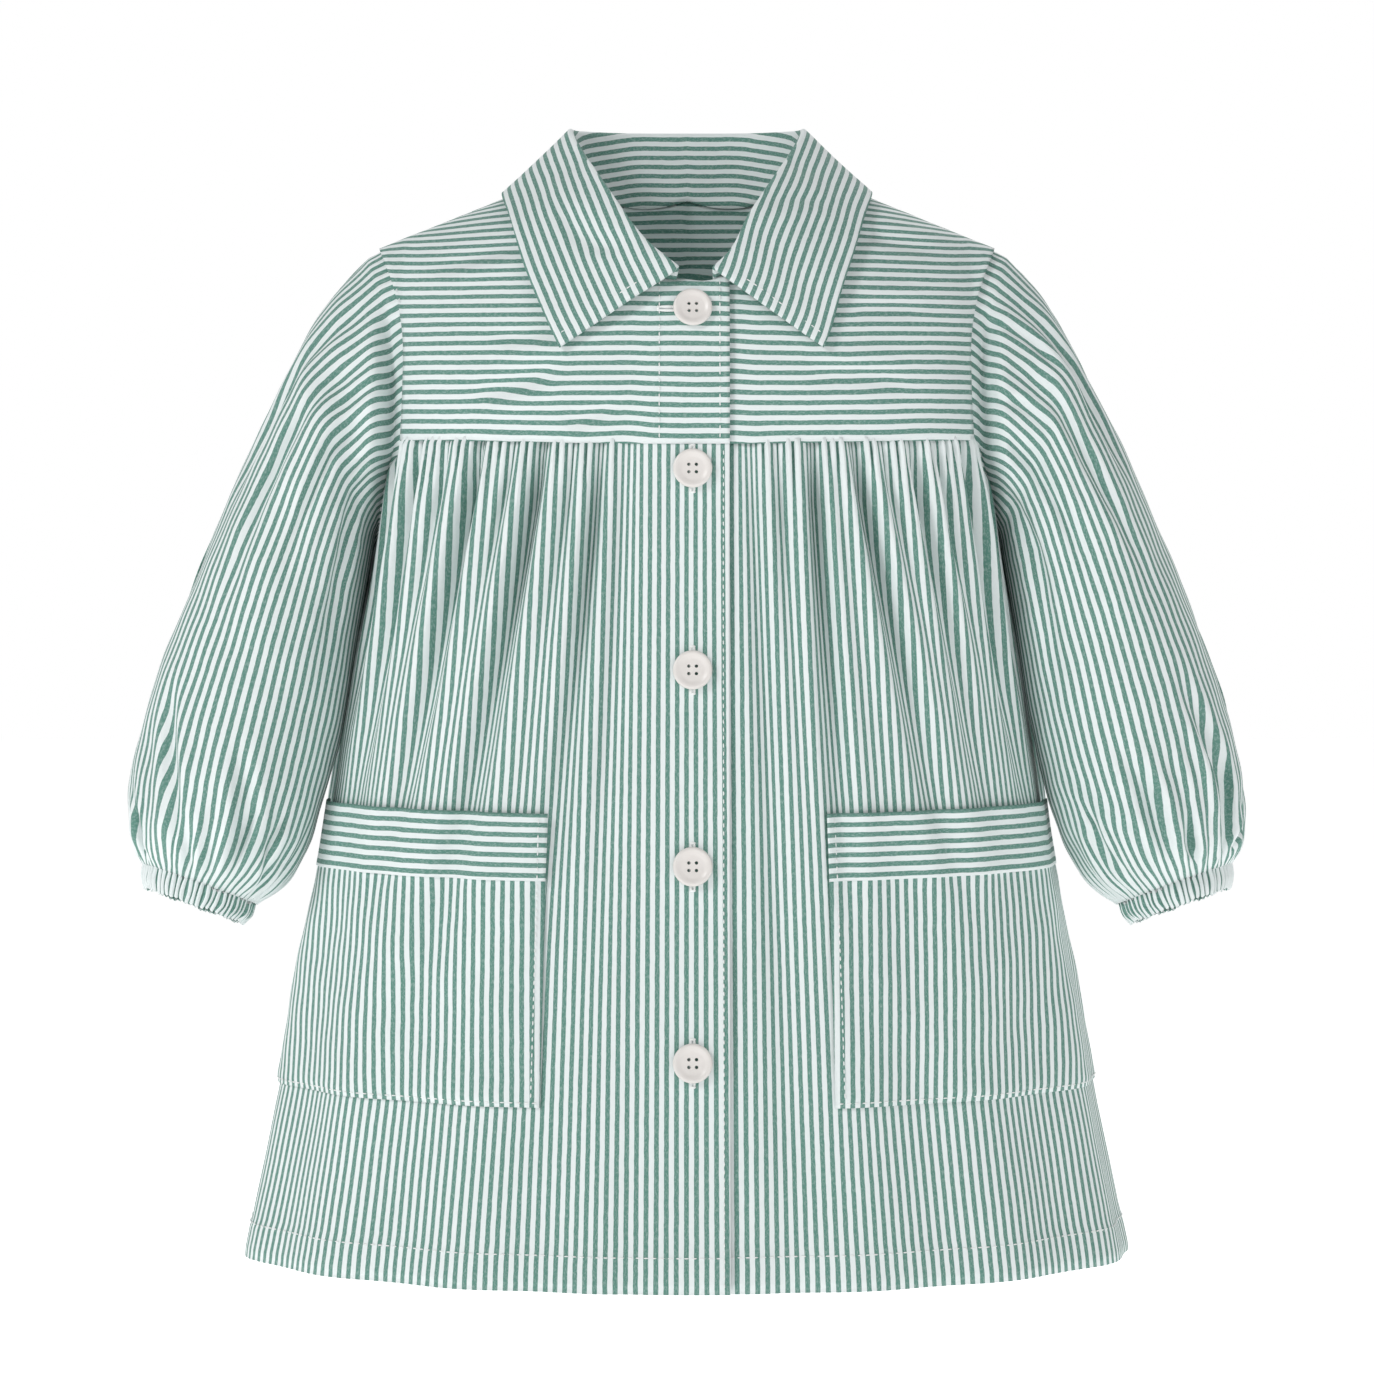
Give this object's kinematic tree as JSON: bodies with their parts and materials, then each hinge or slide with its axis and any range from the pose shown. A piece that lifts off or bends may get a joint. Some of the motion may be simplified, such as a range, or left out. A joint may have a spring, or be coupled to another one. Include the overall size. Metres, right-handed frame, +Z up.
{
  "type": "school smock",
  "caption": "Child's button-through smock in striped cotton: flat collar, yoke with gathered skirt, full sleeves in ruched cuffs, two patch pockets with bands.",
  "frame": {"origin": "between the wearer's shoulders, in the middle of the neck hole, where the smock hangs from the wearer", "axes": "+Z up, -Y the front with the buttons, +X the wearer's left"},
  "size_m": [0.548, 0.2592, 0.5702],
  "materials": {
    "striped_cotton": "plain-woven cotton in even green and white stripes, matt",
    "button": "ivory, soft gloss"
  },
  "bodies": {
    "root": {"yoke_back": "striped_cotton", "yoke_front_right": "striped_cotton", "yoke_front_left": "striped_cotton", "skirt_back": "striped_cotton", "skirt_front_right": "striped_cotton", "skirt_front_left": "striped_cotton", "sleeve_right": "striped_cotton", "sleeve_left": "striped_cotton", "cuff_right": "striped_cotton", "cuff_left": "striped_cotton", "collar": "striped_cotton", "pocket_right": "striped_cotton", "pocket_left": "striped_cotton", "pocket_band_right": "striped_cotton", "pocket_band_left": "striped_cotton", "button_1": "button", "button_2": "button", "button_3": "button", "button_4": "button", "button_5": "button"}
  },
  "joints": []
}
